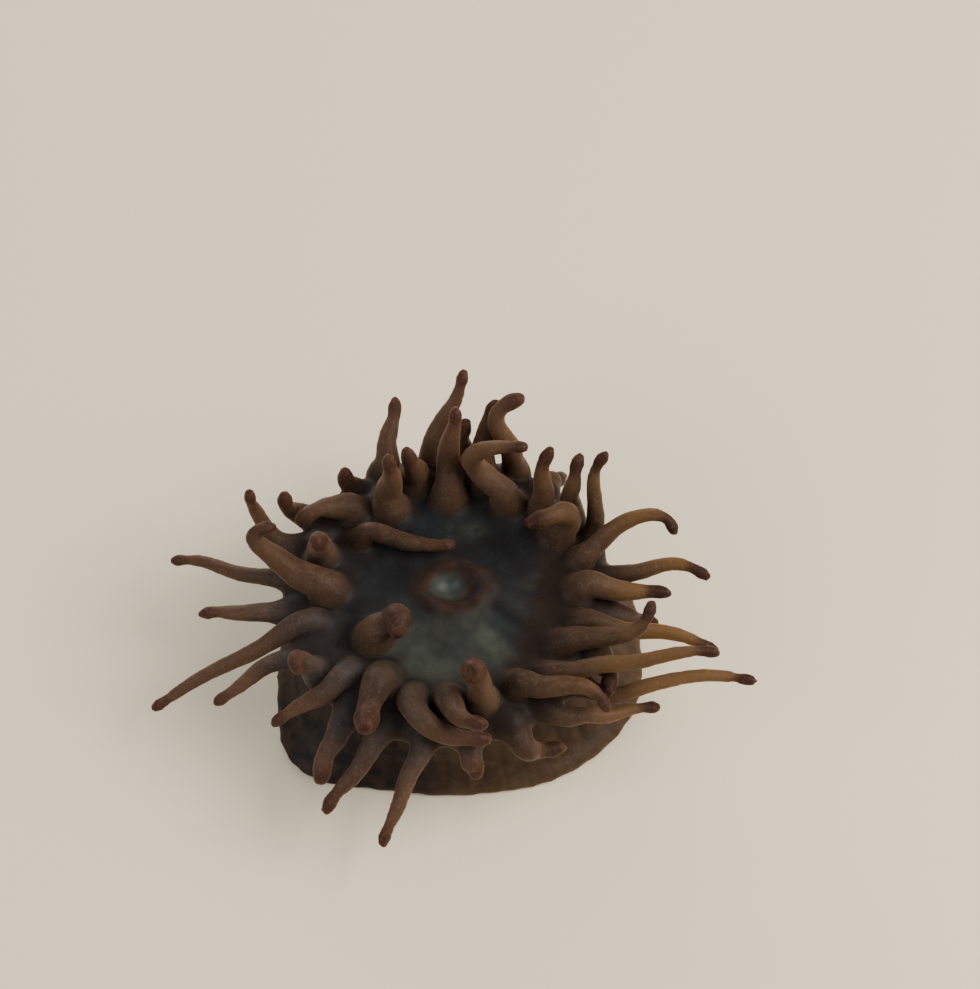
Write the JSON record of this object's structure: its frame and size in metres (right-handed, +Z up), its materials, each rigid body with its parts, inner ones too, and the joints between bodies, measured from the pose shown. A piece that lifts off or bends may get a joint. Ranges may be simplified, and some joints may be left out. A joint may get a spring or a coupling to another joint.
{
  "type": "sea anemone",
  "caption": "Life-size sea anemone, open on its foot, with a smooth brown column, rings of tapered tentacles and a raised mouth on a green-grey disc.",
  "frame": {"origin": "on the flat foot, at ground level, straight under the middle of the oral disc", "axes": "+Z up out of the mouth, +X to the animal's right-hand tentacles as the viewer sees them, -Y towards the viewer"},
  "size_m": [0.0603, 0.0471, 0.0255],
  "materials": {
    "tentacle_flesh": "satin, soft and translucent",
    "column_flesh": "satin, soft",
    "disc_flesh": "satin, soft",
    "lip_flesh": "satin, soft"
  },
  "bodies": {
    "root": {"pedal_disc": "column_flesh", "column": "column_flesh", "collar": "column_flesh", "tentacle_zone": "disc_flesh", "oral_disc": "disc_flesh", "lips": "lip_flesh", "tentacle_01": "tentacle_flesh", "tentacle_02": "tentacle_flesh", "tentacle_03": "tentacle_flesh", "tentacle_04": "tentacle_flesh", "tentacle_05": "tentacle_flesh", "tentacle_06": "tentacle_flesh", "tentacle_07": "tentacle_flesh", "tentacle_08": "tentacle_flesh", "tentacle_09": "tentacle_flesh", "tentacle_10": "tentacle_flesh", "tentacle_11": "tentacle_flesh", "tentacle_12": "tentacle_flesh", "tentacle_13": "tentacle_flesh", "tentacle_14": "tentacle_flesh", "tentacle_15": "tentacle_flesh", "tentacle_16": "tentacle_flesh", "tentacle_17": "tentacle_flesh", "tentacle_18": "tentacle_flesh", "tentacle_19": "tentacle_flesh", "tentacle_20": "tentacle_flesh", "tentacle_21": "tentacle_flesh", "tentacle_22": "tentacle_flesh", "tentacle_23": "tentacle_flesh", "tentacle_24": "tentacle_flesh", "tentacle_25": "tentacle_flesh", "tentacle_26": "tentacle_flesh", "tentacle_27": "tentacle_flesh", "tentacle_28": "tentacle_flesh", "tentacle_29": "tentacle_flesh", "tentacle_30": "tentacle_flesh", "tentacle_31": "tentacle_flesh", "tentacle_32": "tentacle_flesh", "tentacle_33": "tentacle_flesh", "tentacle_34": "tentacle_flesh", "tentacle_35": "tentacle_flesh", "tentacle_36": "tentacle_flesh", "tentacle_37": "tentacle_flesh", "tentacle_38": "tentacle_flesh", "tentacle_39": "tentacle_flesh", "tentacle_40": "tentacle_flesh", "tentacle_41": "tentacle_flesh", "tentacle_42": "tentacle_flesh", "tentacle_43": "tentacle_flesh", "tentacle_44": "tentacle_flesh", "tentacle_45": "tentacle_flesh", "tentacle_46": "tentacle_flesh", "tentacle_47": "tentacle_flesh", "tentacle_48": "tentacle_flesh"}
  },
  "joints": []
}
